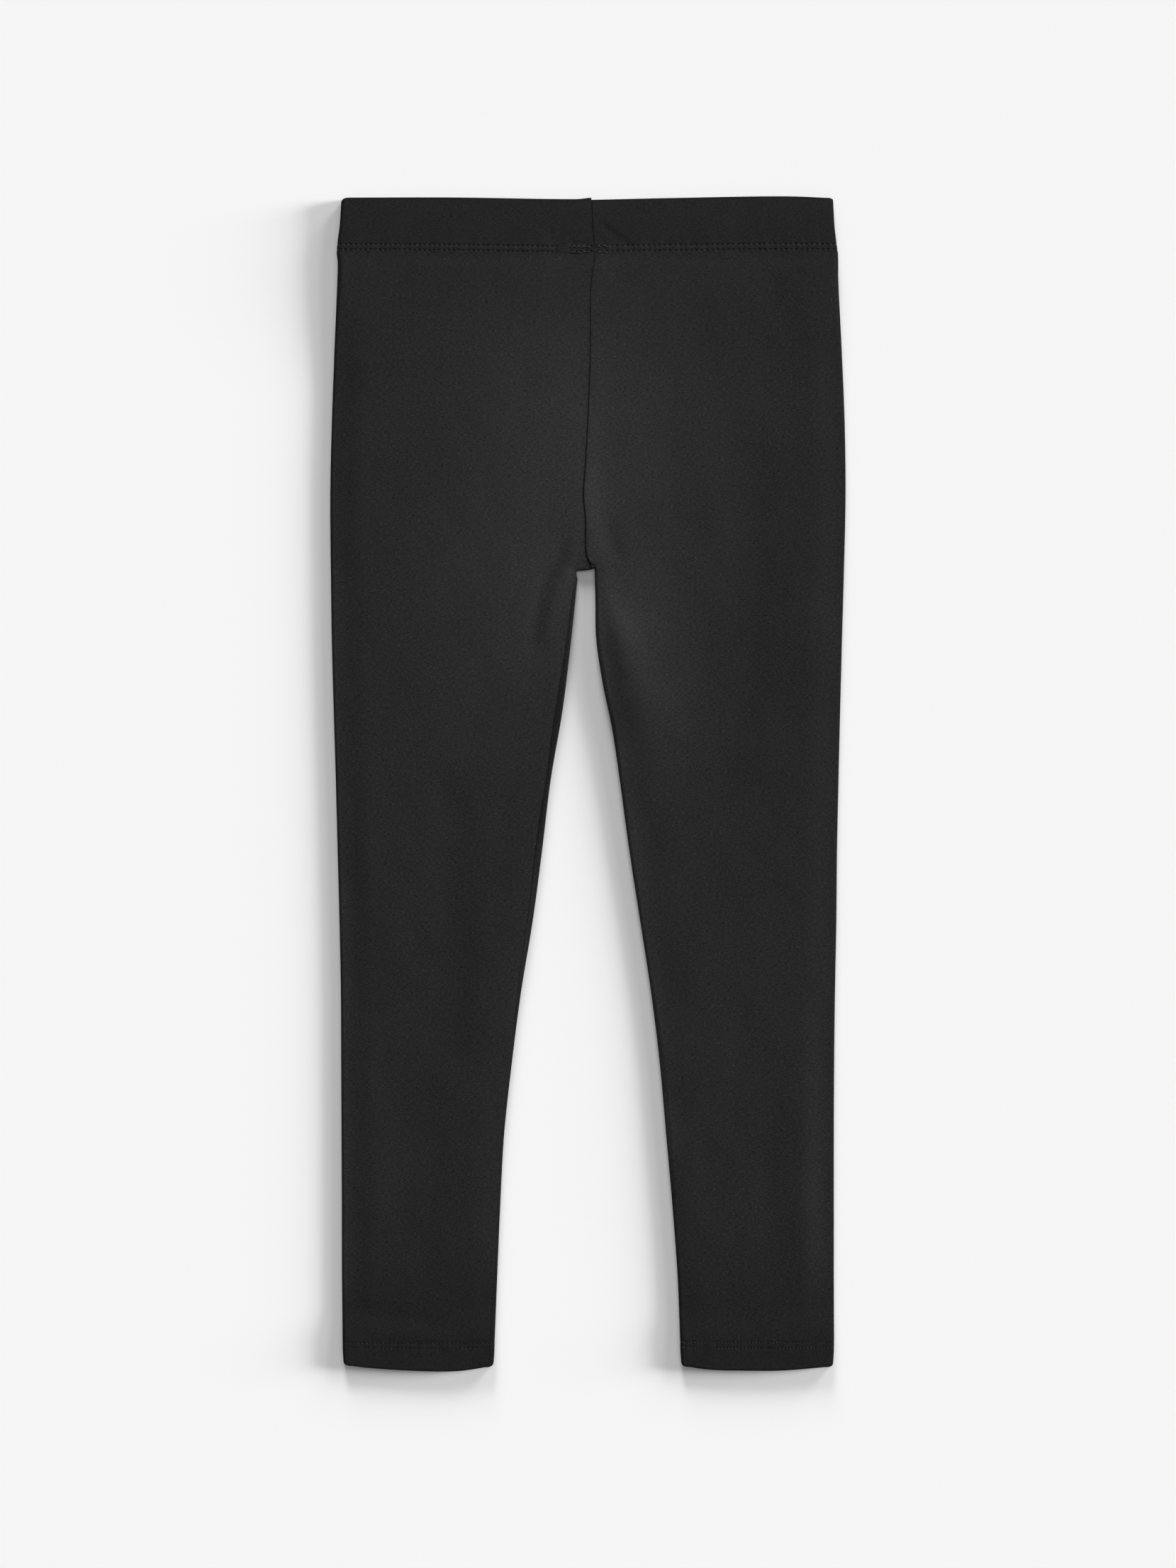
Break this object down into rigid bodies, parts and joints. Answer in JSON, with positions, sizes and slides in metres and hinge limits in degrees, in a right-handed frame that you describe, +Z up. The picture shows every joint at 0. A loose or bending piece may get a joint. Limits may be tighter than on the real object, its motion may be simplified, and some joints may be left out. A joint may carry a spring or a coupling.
{
  "type": "leggings",
  "caption": "Full-length leggings laid flat: two folded leg pieces, a turned elastic waistband and turned-up hems.",
  "frame": {"origin": "middle of the flat garment's box in plan, on the surface that it lies on", "axes": "+Y from the hems to the waist, +Z up from the surface to the side that shows, +X towards the right-hand leg as seen from above"},
  "size_m": [0.3071, 0.7, 0.0062],
  "materials": {
    "jersey": "near-black smooth cotton and elastane jersey, matt",
    "thread": "near-black polyester sewing thread, slight sheen"
  },
  "bodies": {
    "root": {"leg_left": "jersey", "leg_right": "jersey", "waistband_left": "jersey", "waistband_right": "jersey", "hem_left": "jersey", "hem_right": "jersey"}
  },
  "joints": []
}
